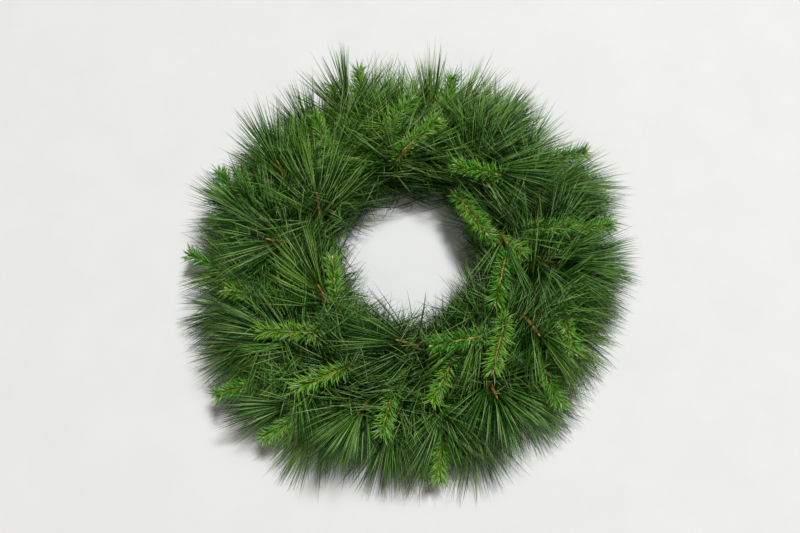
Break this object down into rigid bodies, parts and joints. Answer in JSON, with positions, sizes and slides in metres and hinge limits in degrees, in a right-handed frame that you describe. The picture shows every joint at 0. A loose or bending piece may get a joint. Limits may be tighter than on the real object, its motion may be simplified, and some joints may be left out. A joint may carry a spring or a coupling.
{
  "type": "fresh evergreen wreath",
  "caption": "Full round evergreen wreath of long-needled pine sprays and short-needled fir sprigs bound to a raised wire ring frame, lying face up, with an open centre.",
  "frame": {"origin": "centre of the ring in plan, at the height of the surface that the wreath lies on", "axes": "+Z out of the wreath's face, up from the surface it lies on; +Y towards the wreath's top as it would hang; +X to its right"},
  "size_m": [0.6141, 0.615, 0.132],
  "materials": {
    "frame_wire": "dark green enamelled steel wire, semi-gloss",
    "binding_wire": "thin green florist's wire, satin",
    "pine_needles": "fresh pine needles, mid to deep green with a waxy sheen and paler tips",
    "fir_needles": "fresh fir needles, brighter green, satin",
    "pine_bark": "matte brown pine twig bark with leaf scars",
    "fir_bark": "matte tan-orange young fir twig with pale buds"
  },
  "bodies": {
    "root": {"wire_frame": "frame_wire", "binding_wire": "binding_wire", "pine_spray_01": "pine_needles", "pine_spray_02": "pine_needles", "pine_spray_03": "pine_needles", "pine_spray_04": "pine_needles", "pine_spray_05": "pine_needles", "pine_spray_06": "pine_needles", "pine_spray_07": "pine_needles", "pine_spray_08": "pine_needles", "pine_spray_09": "pine_needles", "pine_spray_10": "pine_needles", "pine_spray_11": "pine_needles", "pine_spray_12": "pine_needles", "pine_spray_13": "pine_needles", "pine_spray_14": "pine_needles", "pine_spray_15": "pine_needles", "pine_spray_16": "pine_needles", "pine_spray_17": "pine_needles", "pine_spray_18": "pine_needles", "pine_spray_19": "pine_needles", "pine_spray_20": "pine_needles", "pine_spray_21": "pine_needles", "pine_spray_22": "pine_needles", "pine_spray_23": "pine_needles", "pine_spray_24": "pine_needles", "pine_spray_25": "pine_needles", "pine_spray_26": "pine_needles", "pine_spray_27": "pine_needles", "pine_spray_28": "pine_needles", "pine_spray_29": "pine_needles", "pine_spray_30": "pine_needles", "pine_spray_31": "pine_needles", "pine_spray_32": "pine_needles", "pine_spray_33": "pine_needles", "fir_sprig_01": "fir_needles", "fir_sprig_02": "fir_needles", "fir_sprig_03": "fir_needles", "fir_sprig_04": "fir_needles", "fir_sprig_05": "fir_needles", "fir_sprig_06": "fir_needles", "fir_sprig_07": "fir_needles", "fir_sprig_08": "fir_needles", "fir_sprig_09": "fir_needles", "fir_sprig_10": "fir_needles", "fir_sprig_11": "fir_needles", "fir_sprig_12": "fir_needles", "fir_sprig_13": "fir_needles", "fir_sprig_14": "fir_needles", "fir_sprig_15": "fir_needles", "fir_sprig_16": "fir_needles", "fir_sprig_17": "fir_needles", "fir_sprig_18": "fir_needles", "fir_sprig_19": "fir_needles", "fir_sprig_20": "fir_needles", "fir_sprig_21": "fir_needles", "fir_sprig_22": "fir_needles", "fir_sprig_23": "fir_needles", "fir_sprig_24": "fir_needles", "fir_sprig_25": "fir_needles"}
  },
  "joints": []
}
